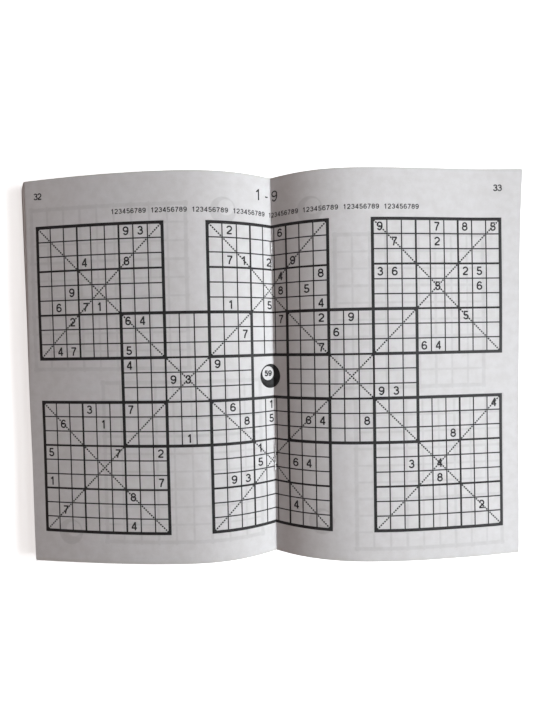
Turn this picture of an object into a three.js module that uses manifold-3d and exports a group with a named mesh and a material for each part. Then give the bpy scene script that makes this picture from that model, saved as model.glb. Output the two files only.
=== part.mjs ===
// Saddle-stitched puzzle booklet, lying open on a table at its centre spread.
// Millimetres, +Z up, fold along Y. The origin is on the table, under the middle of the fold.
import * as THREE from "three";
import { mergeVertices } from "three/addons/utils/BufferGeometryUtils.js";
import Module from "manifold-3d";

const wasm = await Module();
wasm.setup();

// Paper
const PAGE_HEIGHT = 210; // head to tail
const LEAF_WIDTH = 139.5; // centre leaf from fold to fore edge, measured along the paper
const SHEETS = 16; // folded inner sheets, two leaves each
const PAPER = 0.1; // inner leaf thickness
const COVER = 0.2; // cover thickness

// How the open leaves lie
const FOLD_SLOPE = 38; // degrees, at which every leaf climbs out of the fold
const FOLD_AIR = 0.1; // air between neighbouring leaves at the fold
const CREST_OUT = 49; // highest line of the pages, out from the fold
const PAGE_CREST = 19.2; // height of the top leaf there
const PAGE_EDGE = 9.4; // height of the top leaf's fore edge
const PAGE_EDGE_SLOPE = -9; // degrees, at the top leaf's fore edge
const COVER_CREST = 13.4; // height of the cover under the pages' crest
const LANDING = 8; // flat strip along the cover's fore edge, on the table

// Staples
const WIRE = 0.5; // wire diameter
const CROWN = 15.5; // length outside, on the spine
const LEG_END = 6.6; // clinched end, from the leg inwards
const WIRE_BEND = 0.7; // bend radius of the wire's middle line
const HEAD_STAPLE = 62; // middle of the upper staple, from the middle of the fold
const TAIL_STAPLE = -51.5; // middle of the lower staple

// Clearances
const HINGE_RELIEF = 0.5; // top leaf to the hinge line, which the clinched wire follows
const SEAT = 0.1; // wire to the spine strip
const SPINE_GAP = 0.3; // spine strip to either cover

// Fineness of the facets
const LEAF_FACETS = 18;
const WIRE_SIDES = 8;
const WIRE_STEPS = 56;
const HOLE_SIDES = 12;
const WIDTH_STEPS = 40; // halvings in the search for a profile of the right length

const slope = THREE.MathUtils.degToRad(FOLD_SLOPE);
const edgeSlope = THREE.MathUtils.degToRad(PAGE_EDGE_SLOPE);

// Distances below the hinge line, square to the leaves at the fold
const pitch = PAPER + FOLD_AIR;
const topLeafDepth = HINGE_RELIEF + PAPER / 2;
const coverDepth = HINGE_RELIEF + SHEETS * pitch + COVER / 2;

// Heights at the fold, from the table up: staple crown, spine strip, cover, leaves, hinge line
const spineBottom = WIRE + SEAT;
const hingeHeight = spineBottom + (coverDepth + COVER / 2) * Math.cos(slope);

const paper = new THREE.MeshStandardMaterial({ color: 0xdcdad8, roughness: 0.92, metalness: 0 });
const coverStock = new THREE.MeshStandardMaterial({ color: 0x2f5d86, roughness: 0.55, metalness: 0 });
const steelWire = new THREE.MeshStandardMaterial({ color: 0xb9bcc0, roughness: 0.3, metalness: 1 });

// The point where a leaf starts, square below the hinge line.
function foot(depth) {
  return new THREE.Vector2(depth * Math.sin(slope), hingeHeight - depth * Math.cos(slope));
}

// A smooth stretch of a profile between two points of given slope.
function bend(start, startSlope, end, endSlope) {
  const reach = (end.x - start.x) / 3;
  return new THREE.CubicBezierCurve(
    start,
    new THREE.Vector2(start.x + reach, start.y + reach * Math.tan(startSlope)),
    new THREE.Vector2(end.x - reach, end.y - reach * Math.tan(endSlope)),
    end,
  );
}

// A leaf's middle line in the XZ plane, from the fold over the crest to its fore edge at edgeX.
function profileTo(edgeX, { depth, crest, edge, atEdge, flat }) {
  const path = new THREE.CurvePath();
  const top = new THREE.Vector2(CREST_OUT, crest);
  const down = new THREE.Vector2(edgeX - flat, edge);
  path.add(bend(foot(depth), slope, top, 0));
  path.add(bend(top, 0, down, atEdge));
  if (flat > 0) path.add(new THREE.LineCurve(down, new THREE.Vector2(edgeX, edge)));
  return path;
}

// The profile whose length along the paper is width: the fore edge moves out until it fits.
function profileOfWidth(width, arch) {
  let near = CREST_OUT + arch.flat;
  let far = near + width;
  for (let i = 0; i < WIDTH_STEPS; i++) {
    const middle = (near + far) / 2;
    if (profileTo(middle, arch).getLength() < width) near = middle;
    else far = middle;
  }
  return profileTo(near, arch);
}

const pageProfile = profileOfWidth(LEAF_WIDTH, {
  depth: topLeafDepth,
  crest: PAGE_CREST - PAPER / 2,
  edge: PAGE_EDGE - PAPER / 2,
  atEdge: edgeSlope,
  flat: 0,
});

// Trimmed flush when closed, a sheet is wider than the one inside it by the paper it wraps round.
const coverProfile = profileOfWidth(LEAF_WIDTH + SHEETS * PAPER, {
  depth: coverDepth,
  crest: COVER_CREST - COVER / 2,
  edge: COVER / 2,
  atEdge: 0,
  flat: LANDING,
});

// Middle line of the leaf that starts at depth: it lies between the top leaf and the cover in proportion.
function middleLine(depth) {
  const share = (depth - topLeafDepth) / (coverDepth - topLeafDepth);
  return Array.from({ length: LEAF_FACETS + 1 }, (_, i) => {
    const along = i / LEAF_FACETS;
    return pageProfile.getPoint(along).lerp(coverProfile.getPoint(along), share);
  });
}

// A leaf of even thickness on its middle line, on the right (side 1) or left (side -1) of the fold.
function leafGeometry(depth, thickness, side) {
  const middle = middleLine(depth);
  const upper = [];
  const lower = [];
  middle.forEach((point, i) => {
    const before = middle[Math.max(i - 1, 0)];
    const after = middle[Math.min(i + 1, LEAF_FACETS)];
    const run = after.clone().sub(before).normalize();
    const half = new THREE.Vector2(-run.y, run.x).multiplyScalar(thickness / 2);
    upper.push(point.clone().add(half));
    lower.push(point.clone().sub(half));
  });
  const outline = [...upper, ...lower.reverse()];
  outline.forEach((point) => (point.x *= side));
  return new THREE.ExtrudeGeometry(new THREE.Shape(outline), { depth: PAGE_HEIGHT, bevelEnabled: false });
}

// Stands a leaf's profile up in the XZ plane and runs it from head to tail.
function leafMesh(name, depth, thickness, side, material) {
  const mesh = new THREE.Mesh(leafGeometry(depth, thickness, side), material);
  mesh.name = name;
  mesh.rotation.x = Math.PI / 2;
  mesh.position.y = PAGE_HEIGHT / 2;
  return mesh;
}

// A leaf is named by the two pages printed on it.
function leafName(firstPage) {
  const number = (page) => String(page).padStart(2, "0");
  return `leaf_${number(firstPage)}_${number(firstPage + 1)}`;
}

function solidOf(geometry) {
  const bare = geometry.clone();
  bare.deleteAttribute("normal");
  bare.deleteAttribute("uv");
  const merged = mergeVertices(bare);
  const vertProperties = new Float32Array(merged.attributes.position.array);
  const triVerts = new Uint32Array(merged.index.array);
  return new wasm.Manifold(new wasm.Mesh({ numProp: 3, vertProperties, triVerts }));
}

function geometryOf(solid) {
  const { vertProperties, triVerts } = solid.getMesh();
  const geometry = new THREE.BufferGeometry();
  geometry.setAttribute("position", new THREE.BufferAttribute(vertProperties, 3));
  geometry.setIndex(new THREE.BufferAttribute(triVerts, 1));
  geometry.computeVertexNormals();
  return geometry;
}

const staplePlaces = { head_staple: HEAD_STAPLE, tail_staple: TAIL_STAPLE };
const legOut = (CROWN - WIRE) / 2; // legs from the staple's middle

// The flat strip of the cover sheet along the fold, pierced by the staple legs.
function spineMesh() {
  const halfWidth = (coverDepth - COVER / 2) * Math.sin(slope) - SPINE_GAP;
  let strip = solidOf(new THREE.BoxGeometry(2 * halfWidth, PAGE_HEIGHT, COVER));
  const holeRadius = (WIRE / 2 + SEAT) / Math.cos(Math.PI / HOLE_SIDES);
  for (const middle of Object.values(staplePlaces)) {
    for (const leg of [-legOut, legOut]) {
      const hole = new THREE.CylinderGeometry(holeRadius, holeRadius, 2 * COVER, HOLE_SIDES);
      hole.rotateX(Math.PI / 2);
      hole.translate(0, middle + leg, 0);
      strip = strip.subtract(solidOf(hole));
    }
  }
  const mesh = new THREE.Mesh(geometryOf(strip), coverStock);
  mesh.name = "cover_spine";
  mesh.position.z = spineBottom + COVER / 2;
  return mesh;
}

// Middle line of the staple wire: clinched end, leg, crown, leg, clinched end.
function staplePath() {
  const at = (y, z) => new THREE.Vector3(0, y, z);
  const crownHeight = WIRE / 2;
  const tip = legOut - LEG_END;
  const corners = [
    at(-tip, hingeHeight),
    at(-legOut, hingeHeight),
    at(-legOut, crownHeight),
    at(legOut, crownHeight),
    at(legOut, hingeHeight),
    at(tip, hingeHeight),
  ];
  const path = new THREE.CurvePath();
  let from = corners[0];
  for (let i = 1; i < corners.length - 1; i++) {
    const corner = corners[i];
    const into = corner.clone().sub(corners[i - 1]).setLength(WIRE_BEND);
    const outOf = corners[i + 1].clone().sub(corner).setLength(WIRE_BEND);
    const bendStart = corner.clone().sub(into);
    const bendEnd = corner.clone().add(outOf);
    path.add(new THREE.LineCurve3(from, bendStart));
    path.add(new THREE.QuadraticBezierCurve3(bendStart, corner, bendEnd));
    from = bendEnd;
  }
  path.add(new THREE.LineCurve3(from, corners.at(-1)));
  return path;
}

function stapleMesh(name, middle) {
  const section = new THREE.Shape().absarc(0, 0, WIRE / 2, 0, 2 * Math.PI);
  const geometry = new THREE.ExtrudeGeometry(section, {
    extrudePath: staplePath(),
    steps: WIRE_STEPS,
    curveSegments: WIRE_SIDES / 2,
    bevelEnabled: false,
  });
  const mesh = new THREE.Mesh(geometry, steelWire);
  mesh.name = name;
  mesh.position.y = middle;
  return mesh;
}

const booklet = new THREE.Group();
booklet.add(leafMesh("front_cover", coverDepth, COVER, -1, coverStock));
booklet.add(leafMesh("back_cover", coverDepth, COVER, 1, coverStock));
booklet.add(spineMesh());
for (const [name, middle] of Object.entries(staplePlaces)) booklet.add(stapleMesh(name, middle));

// Sheet 0 is the centre sheet. A sheet has two pages on each of its two leaves.
const lastLeftPage = 2 * SHEETS;
for (let sheet = 0; sheet < SHEETS; sheet++) {
  const depth = topLeafDepth + sheet * pitch;
  booklet.add(leafMesh(leafName(lastLeftPage - 1 - 2 * sheet), depth, PAPER, -1, paper));
  booklet.add(leafMesh(leafName(lastLeftPage + 1 + 2 * sheet), depth, PAPER, 1, paper));
}

export default booklet;
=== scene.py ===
"""An open sudoku booklet: paper, print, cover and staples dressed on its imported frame.

The booklet lies open at pages 32 and 33 with its fold along Y. Lengths are in metres.
"""

import logging
import math
import random
from dataclasses import dataclass, field
from enum import Enum, IntEnum

import bmesh
import bpy
import numpy as np
from mathutils import Euler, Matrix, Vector


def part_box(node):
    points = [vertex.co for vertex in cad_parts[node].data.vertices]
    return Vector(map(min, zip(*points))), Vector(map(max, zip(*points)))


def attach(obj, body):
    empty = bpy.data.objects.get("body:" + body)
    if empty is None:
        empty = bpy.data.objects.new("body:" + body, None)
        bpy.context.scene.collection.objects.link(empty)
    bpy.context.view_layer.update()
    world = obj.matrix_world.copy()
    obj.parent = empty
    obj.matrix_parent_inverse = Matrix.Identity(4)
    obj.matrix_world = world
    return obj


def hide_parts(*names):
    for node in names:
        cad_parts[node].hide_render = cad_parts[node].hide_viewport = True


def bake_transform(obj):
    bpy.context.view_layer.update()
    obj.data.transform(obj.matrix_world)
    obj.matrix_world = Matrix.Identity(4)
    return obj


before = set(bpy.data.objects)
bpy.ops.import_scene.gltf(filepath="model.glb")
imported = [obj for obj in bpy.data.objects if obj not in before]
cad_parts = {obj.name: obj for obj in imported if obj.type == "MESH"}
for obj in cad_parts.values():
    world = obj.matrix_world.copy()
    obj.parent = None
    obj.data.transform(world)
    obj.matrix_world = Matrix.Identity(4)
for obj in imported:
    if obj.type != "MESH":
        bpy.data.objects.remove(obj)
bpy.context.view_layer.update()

log = logging.getLogger("booklet")

MM = 0.001
PAGE_PLACE = "page"  # vertex attribute: distance from the fold, height on the page, face
FOLD_STEPS = 5  # stretches in half a crease
FINE_EDGE = (3.0 * MM, 2.0 * MM, 1.2 * MM, 0.6 * MM, 0.25 * MM, 0.0)  # mesh lines back from a cut edge
FINE_FOLD = (0.0, 0.06 * MM, 0.6 * MM)  # mesh lines out from the crease, which keep it crisp
TONE_SPAN = (0.35, 0.65)  # grain that counts as fully dark, and as fully light
ROUGH_SPAN = (0.3, 0.7)  # the same for roughness
FLOAT = "NodeSocketFloat"
VECTOR = "NodeSocketVector"


class Side(IntEnum):
    """Side of the fold that a leaf lies on."""

    LEFT = -1
    RIGHT = 1


class Face(IntEnum):
    """Face of a leaf, as it lies in the open booklet."""

    UPPER = 1
    UNDER = -1


class Rule(Enum):
    """Widths of the printed lines."""

    BORDER = 1.65 * MM
    BOX = 1.05 * MM
    CELL = 0.65 * MM
    DASH = 0.8 * MM


Socket = bpy.types.NodeSocket
Node = bpy.types.Node
Tree = bpy.types.NodeTree
Material = bpy.types.Material
Mesh = bpy.types.Mesh
Piece = bpy.types.Object
Pair = tuple[float, float]
Triple = tuple[float, float, float]
Box = tuple[float, float, float, float]  # left, low, right and high sides
Colour = tuple[float, ...]
Setting = Socket | float | tuple[float, ...]
Inputs = dict[str | int, Setting]


@dataclass
class Board:
    """A node tree under construction."""

    tree: Tree

    def add(self, kind: str, inputs: Inputs | None = None, **settings: object) -> Node:
        """Puts one node on the tree.

        Args:
            kind: Blender's type name of the node.
            inputs: Values or sockets for its inputs, by name or index.
            **settings: Properties of the node.

        Returns:
            The new node.
        """
        node = self.tree.nodes.new(kind)
        for name, value in settings.items():
            setattr(node, name, value)
        self.dress(node, inputs or {})
        return node

    def dress(self, node: Node, inputs: Inputs) -> None:
        """Gives a node values or sockets for its inputs, by name or index."""
        for key, value in inputs.items():
            self.feed(node.inputs[key], value)

    def feed(self, socket: Socket, value: Setting) -> None:
        """Sets one input.

        Args:
            socket: The input.
            value: A socket to link it to, or its own value.
        """
        if isinstance(value, Socket):
            self.tree.links.new(value, socket)
        else:
            socket.default_value = value

    def math(self, operation: str, *values: Setting, clamp: bool = False) -> Socket:
        """Adds a Math node and returns its result."""
        inputs = dict(enumerate(values))
        return self.add("ShaderNodeMath", inputs, operation=operation, use_clamp=clamp).outputs[0]

    def weigh(self, first: Socket, share: float, second: Socket) -> Socket:
        """Adds up a share of the first value and the rest of the second, and returns the sum."""
        return self.math("MULTIPLY_ADD", first, share, self.math("MULTIPLY", second, 1.0 - share))

    def vector(self, operation: str, *values: Setting) -> Socket:
        """Adds a Vector Math node and returns its vector."""
        inputs = dict(enumerate(values))
        return self.add("ShaderNodeVectorMath", inputs, operation=operation).outputs["Vector"]

    def ramp(self, value: Setting, low: float, high: float, start: float = 0.0, end: float = 1.0) -> Socket:
        """Adds a smooth step from start at low to end at high and returns its result."""
        places = {"Value": value, "From Min": low, "From Max": high, "To Min": start, "To Max": end}
        return self.add("ShaderNodeMapRange", places, interpolation_type="SMOOTHSTEP").outputs["Result"]

    def mix(self, share: Setting, first: Setting, second: Setting) -> Socket:
        """Adds a colour mix.

        Args:
            share: How much of the second colour there is, from 0 to 1.
            first: One colour.
            second: The other colour.

        Returns:
            The mixed colour.
        """
        node = self.add("ShaderNodeMix", data_type="RGBA")
        sockets = [s for s in node.inputs if s.enabled]
        for socket, value in zip(sockets, (share, first, second)):
            self.feed(socket, value)
        return next(s for s in node.outputs if s.enabled)

    def noise(self, place: Setting, scale: Setting, detail: float = 3.0, roughness: float = 0.5) -> Socket:
        """Adds a noise texture and returns its value."""
        inputs = {"Vector": place, "Scale": scale, "Detail": detail, "Roughness": roughness}
        return self.add("ShaderNodeTexNoise", inputs).outputs[0]

    def page_place(self) -> tuple[Socket, Socket, Socket]:
        """Reads the place on the unrolled sheet.

        Returns:
            The place, the place on a page with both sides of the fold alike, and the face.
        """
        place = self.add("ShaderNodeAttribute", attribute_name=PAGE_PLACE).outputs["Vector"]
        parts = self.add("ShaderNodeSeparateXYZ", {0: place}).outputs
        page = self.add("ShaderNodeCombineXYZ", {0: self.math("ABSOLUTE", parts[0]), 1: parts[1]})
        return place, page.outputs[0], parts[2]

    def group(self, tree: Tree, inputs: Inputs) -> Node:
        """Places a node group with its own values."""
        return self.add("ShaderNodeGroup", inputs, node_tree=tree)


def new_group(
    name: str, inputs: dict[str, str], outputs: dict[str, str]
) -> tuple[Board, dict[str, Socket], dict[str, Socket]]:
    """Starts a shader node group.

    Args:
        name: The group's name.
        inputs: Socket types of its inputs, by name.
        outputs: Socket types of its outputs, by name.

    Returns:
        The board to build on, its input sockets and its output sockets.
    """
    tree = bpy.data.node_groups.new(name, "ShaderNodeTree")
    for label, kind in inputs.items():
        tree.interface.new_socket(label, in_out="INPUT", socket_type=kind)
    for label, kind in outputs.items():
        tree.interface.new_socket(label, in_out="OUTPUT", socket_type=kind)
    board = Board(tree)
    given = board.add("NodeGroupInput")
    made = board.add("NodeGroupOutput")
    return board, {k: given.outputs[k] for k in inputs}, {k: made.inputs[k] for k in outputs}


def make_grain_group(specks: float = 55.0, bare: float = 0.7, dot: Pair = (0.008, 0.016)) -> Tree:
    """Builds the look of pressed paper fibre: a cloudy tone, a fine height and stray specks.

    Args:
        specks: Places for a speck, per metre.
        bare: Share of these places that stays empty.
        dot: Where a speck starts to fade and where it ends, in places.

    Returns:
        A group with Place, Cloud and Fibre inputs, where the last two are features per metre.
    """
    board, given, made = new_group(
        "Paper grain",
        {"Place": VECTOR, "Cloud": FLOAT, "Fibre": FLOAT},
        {"Tone": FLOAT, "Height": FLOAT, "Specks": FLOAT},
    )
    cloud = board.noise(given["Place"], given["Cloud"], detail=4.0, roughness=0.6)
    fibre = board.noise(given["Place"], given["Fibre"], detail=2.0, roughness=0.55)
    board.feed(made["Tone"], board.weigh(cloud, 0.65, fibre))
    board.feed(made["Height"], board.weigh(fibre, 0.8, cloud))
    cells = board.add("ShaderNodeTexVoronoi", {"Vector": given["Place"], "Scale": specks})
    drawn = board.add("ShaderNodeSeparateColor", {0: cells.outputs["Color"]})
    chosen = board.math("GREATER_THAN", drawn.outputs[0], bare)
    near = board.ramp(cells.outputs["Distance"], *dot, 1.0, 0.0)
    board.feed(made["Specks"], board.math("MULTIPLY", chosen, near))
    return board.tree


def make_grid_group(
    cells: int = 9, rules: tuple[Pair, ...] = ((1.0, 1.0), (3.0, 2.0), (9.0, 3.2)), proud: float = 0.16
) -> Tree:
    """Builds the lines of a printed nine by nine grid as a mask.

    Args:
        cells: Cells along a side.
        rules: Spacing of each kind of line in cells, and its width per Line.
        proud: How far the lines reach past the outer cells, in cells.

    Returns:
        A group with Place, Corner (tail corner nearest the fold), Cell, Line and Blur inputs.
    """
    board, given, made = new_group(
        "Printed grid",
        {"Place": VECTOR, "Corner": VECTOR, "Cell": FLOAT, "Line": FLOAT, "Blur": FLOAT},
        {"Mask": FLOAT},
    )
    from_corner = board.vector("SUBTRACT", given["Place"], given["Corner"])
    local = board.add("ShaderNodeVectorMath", {0: from_corner}, operation="SCALE")
    board.feed(local.inputs["Scale"], board.math("DIVIDE", 1.0, given["Cell"]))
    in_cells = board.add("ShaderNodeSeparateXYZ", {0: local.outputs["Vector"]})
    masks, insides = [], []
    for axis in range(2):
        place = in_cells.outputs[axis]
        for spacing, wider in rules:
            nearest = board.math("SNAP", board.math("ADD", place, spacing / 2), spacing)
            off = board.math("ABSOLUTE", board.math("SUBTRACT", place, nearest))
            distance = board.math("MULTIPLY", off, given["Cell"])
            half = board.math("MULTIPLY", given["Line"], wider / 2)
            beyond = board.math("SUBTRACT", distance, half)
            soft = board.math("DIVIDE", beyond, given["Blur"])
            masks.append(board.math("SUBTRACT", 1.0, soft, clamp=True))
        middle = board.math("ABSOLUTE", board.math("SUBTRACT", place, cells / 2))
        insides.append(board.math("LESS_THAN", middle, cells / 2 + proud))
    lines = masks[0]
    for mask in masks[1:]:
        lines = board.math("MAXIMUM", lines, mask)
    board.feed(made["Mask"], board.math("MULTIPLY", lines, board.math("MULTIPLY", *insides)))
    return board.tree


def make_badge_group() -> Tree:
    """Builds a printed badge as a mask: a disc with a smaller one left open in it.

    Returns:
        A group with Place, Blur, Centre and Radius inputs, and Hole and Open for the open disc.
    """
    kinds = {"Place": VECTOR, "Blur": FLOAT}
    kinds |= {"Centre": VECTOR, "Radius": FLOAT, "Hole": VECTOR, "Open": FLOAT}
    board, given, made = new_group("Printed badge", kinds, {"Mask": FLOAT})
    discs = []
    for middle, radius in (("Centre", "Radius"), ("Hole", "Open")):
        ends = {0: given["Place"], 1: given[middle]}
        apart = board.add("ShaderNodeVectorMath", ends, operation="DISTANCE").outputs["Value"]
        beyond = board.math("DIVIDE", board.math("SUBTRACT", apart, given[radius]), given["Blur"])
        discs.append(board.math("SUBTRACT", 1.0, beyond, clamp=True))
    board.feed(made["Mask"], board.math("SUBTRACT", *discs, clamp=True))
    return board.tree


def make_rim_group(ragged: float = 420.0) -> Tree:
    """Builds a ragged band along a sheet's outer edges as a mask.

    Args:
        ragged: Teeth of the band's inner side, per metre.

    Returns:
        A group with Place, Size (fold to fore edge, half the page height) and Reach inputs.
    """
    board, given, made = new_group(
        "Sheet rim", {"Place": VECTOR, "Size": VECTOR, "Reach": FLOAT}, {"Mask": FLOAT}
    )
    left = board.vector("SUBTRACT", given["Size"], board.vector("ABSOLUTE", given["Place"]))
    inward = board.add("ShaderNodeSeparateXYZ", {0: left})
    nearest = board.math("MINIMUM", inward.outputs[0], inward.outputs[1])
    teeth = board.noise(given["Place"], ragged, detail=4.0, roughness=0.65)
    reach = board.math("MULTIPLY", given["Reach"], teeth)
    share = board.math("DIVIDE", nearest, board.math("MULTIPLY", reach, 2.0))
    board.feed(made["Mask"], board.math("SUBTRACT", 1.0, share, clamp=True))
    return board.tree


@dataclass
class Effects:
    """Node groups that several finishes share."""

    grain: Tree = field(default_factory=make_grain_group)
    grid: Tree = field(default_factory=make_grid_group)
    badge: Tree = field(default_factory=make_badge_group)
    rim: Tree = field(default_factory=make_rim_group)


def new_material(name: str) -> tuple[Material, Board, Node]:
    """Starts a node material.

    Args:
        name: The material's name.

    Returns:
        The material, a board on its node tree and its Principled shader.
    """
    material = bpy.data.materials.new(name)
    material.use_nodes = True
    return material, Board(material.node_tree), material.node_tree.nodes["Principled BSDF"]


def bump(board: Board, shader: Node, height: Socket, distance: float, strength: float) -> None:
    """Gives a shader relief from a height, as high as distance and as marked as strength."""
    relief = board.add("ShaderNodeBump", {"Height": height, "Distance": distance, "Strength": strength})
    board.feed(shader.inputs["Normal"], relief.outputs["Normal"])


@dataclass(frozen=True)
class Block:
    """One nine by nine grid on a single page, placed from the fold and the page's middle."""

    near: float  # fold to the nearest line
    foot: float  # height of the lowest line
    cell: float


@dataclass(frozen=True)
class Badge:
    """A round badge: a dark disc with a smaller one left open in it, for a number."""

    radius: float = 6.8 * MM
    hole: float = 3.9 * MM  # radius of the open disc
    shift: Pair = (-1.6 * MM, 1.6 * MM)  # hole from the middle, as the reader sees it
    digits: Pair = (3.3 * MM, 2.5 * MM)  # height and pitch of its number


@dataclass(frozen=True)
class PageDesign:
    """What a page carries: its grids and badges, placed from the fold and the page's middle."""

    blocks: tuple[Block, ...]
    badges: tuple[Pair, ...]
    badge: Badge = Badge()


class Layout(Enum):
    """The two ways in which a page holds its two grids and their badges."""

    STAGGERED = PageDesign(
        (Block(48.7 * MM, 1.2 * MM, 9.62 * MM), Block(9.4 * MM, -93.0 * MM, 9.62 * MM)),
        ((28.8 * MM, 84.5 * MM), (117.5 * MM, -88.5 * MM)),
    )
    STEPPED = PageDesign(
        (Block(37.0 * MM, -11.0 * MM, 9.0 * MM), Block(47.0 * MM, -98.0 * MM, 9.0 * MM)),
        ((23.7 * MM, 84.5 * MM), (28.0 * MM, -84.0 * MM)),
    )


@dataclass(frozen=True)
class PaperPrint:
    """A page that a paper's shader shows on one face."""

    design: PageDesign
    hand: Side  # side of the fold on which the reader of that page sees it
    strength: float = 0.9
    badge: float = 1.0  # badges against the lines
    line: float = 0.45 * MM  # width of the thinnest line
    blur: float = 0.12 * MM  # soft side of a line


@dataclass(frozen=True)
class PaperFinish:
    """Thin uncoated offset paper, greyish white."""

    pale: Colour = (0.655, 0.652, 0.66, 1.0)
    dull: Colour = (0.605, 0.598, 0.6, 1.0)
    speck: Colour = (0.3, 0.29, 0.28, 1.0)
    aged: Colour = (0.55, 0.535, 0.51, 1.0)
    ink: Colour = (0.04, 0.039, 0.042, 1.0)  # of the pages that the shader prints
    roughness: float = 0.88
    specular: float = 0.25
    relief: Pair = (0.02 * MM, 0.6)  # height and strength
    cloud: float = 190.0  # features per metre
    fibre: float = 2300.0
    tones: Pair = (0.36, 0.64)  # grain that counts as fully dull, and as fully pale
    rim: float = 1.5 * MM  # width of the aged edge
    rim_share: float = 0.5  # how far it has aged

    def material(self, name: str, effects: Effects, size: Pair, prints: dict[Face, PaperPrint]) -> Material:
        """Builds the paper of one kind of leaf.

        Args:
            name: The material's name.
            effects: The shared node groups.
            size: Fold to fore edge and half the page height.
            prints: Pages drawn on each face by the shader.

        Returns:
            The material.
        """
        material, board, shader = new_material(name)
        place, page, which = board.page_place()
        grain = board.group(effects.grain, {"Place": place, "Cloud": self.cloud, "Fibre": self.fibre})
        tone = board.ramp(grain.outputs["Tone"], *self.tones)
        colour = board.mix(tone, self.dull, self.pale)
        colour = board.mix(grain.outputs["Specks"], colour, self.speck)
        rim = board.group(effects.rim, {"Place": page, "Size": (*size, 0.0), "Reach": self.rim})
        colour = board.mix(board.math("MULTIPLY", rim.outputs["Mask"], self.rim_share), colour, self.aged)
        for face, printed in prints.items():
            shown = board.math("GREATER_THAN", board.math("MULTIPLY", which, float(face)), 0.5)
            share = board.math("MULTIPLY", shown, printed.strength)
            for mask in self.masks(board, effects, page, printed):
                colour = board.mix(board.math("MULTIPLY", mask, share), colour, self.ink)
        board.dress(shader, {"Base Color": colour, "Roughness": self.roughness})
        board.dress(shader, {"Specular IOR Level": self.specular})
        bump(board, shader, grain.outputs["Height"], *self.relief)
        return material

    def masks(self, board: Board, effects: Effects, page: Socket, printed: PaperPrint) -> list[Socket]:
        """Places the node groups of one printed page.

        Args:
            board: The material's board.
            effects: The shared node groups.
            page: The place on the page.
            printed: What to show.

        Returns:
            A mask for each grid and badge.
        """
        masks = []
        badge = printed.design.badge
        for block in printed.design.blocks:
            inputs = {"Place": page, "Corner": (block.near, block.foot, 0.0), "Cell": block.cell}
            inputs |= {"Line": printed.line, "Blur": printed.blur}
            masks.append(board.group(effects.grid, inputs).outputs["Mask"])
        for out, up in printed.design.badges:
            hole = (out + printed.hand * badge.shift[0], up + badge.shift[1], 0.0)
            inputs = {"Place": page, "Centre": (out, up, 0.0), "Radius": badge.radius}
            inputs |= {"Hole": hole, "Open": badge.hole, "Blur": printed.blur}
            mask = board.group(effects.badge, inputs).outputs["Mask"]
            masks.append(board.math("MULTIPLY", mask, printed.badge))
        return masks


@dataclass(frozen=True)
class InkFinish:
    """A film of printing ink with a slightly uneven density."""

    full: Colour
    thin: Colour
    roughness: Pair = (0.5, 0.75)
    specular: float = 0.3
    fibre: float = 1600.0  # features per metre
    coarser: float = 6.0  # fibres to a cloud

    def material(self, name: str, effects: Effects) -> Material:
        """Builds the ink.

        Args:
            name: The material's name.
            effects: The shared node groups.

        Returns:
            The material.
        """
        material, board, shader = new_material(name)
        place = board.add("ShaderNodeTexCoord").outputs["Object"]
        cloud = self.fibre / self.coarser
        grain = board.group(effects.grain, {"Place": place, "Cloud": cloud, "Fibre": self.fibre})
        tone = grain.outputs["Tone"]
        colour = board.mix(board.ramp(tone, *TONE_SPAN), self.full, self.thin)
        rough = board.ramp(tone, *ROUGH_SPAN, *self.roughness)
        board.dress(shader, {"Base Color": colour, "Roughness": rough, "Specular IOR Level": self.specular})
        return material


class Ink(Enum):
    """The booklet's two inks, each with its full and its thin colour."""

    BLACK = InkFinish((0.012, 0.0118, 0.0125, 1.0), (0.03, 0.0295, 0.031, 1.0))
    WHITE = InkFinish((0.7, 0.7, 0.69, 1.0), (0.56, 0.57, 0.58, 1.0))


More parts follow.
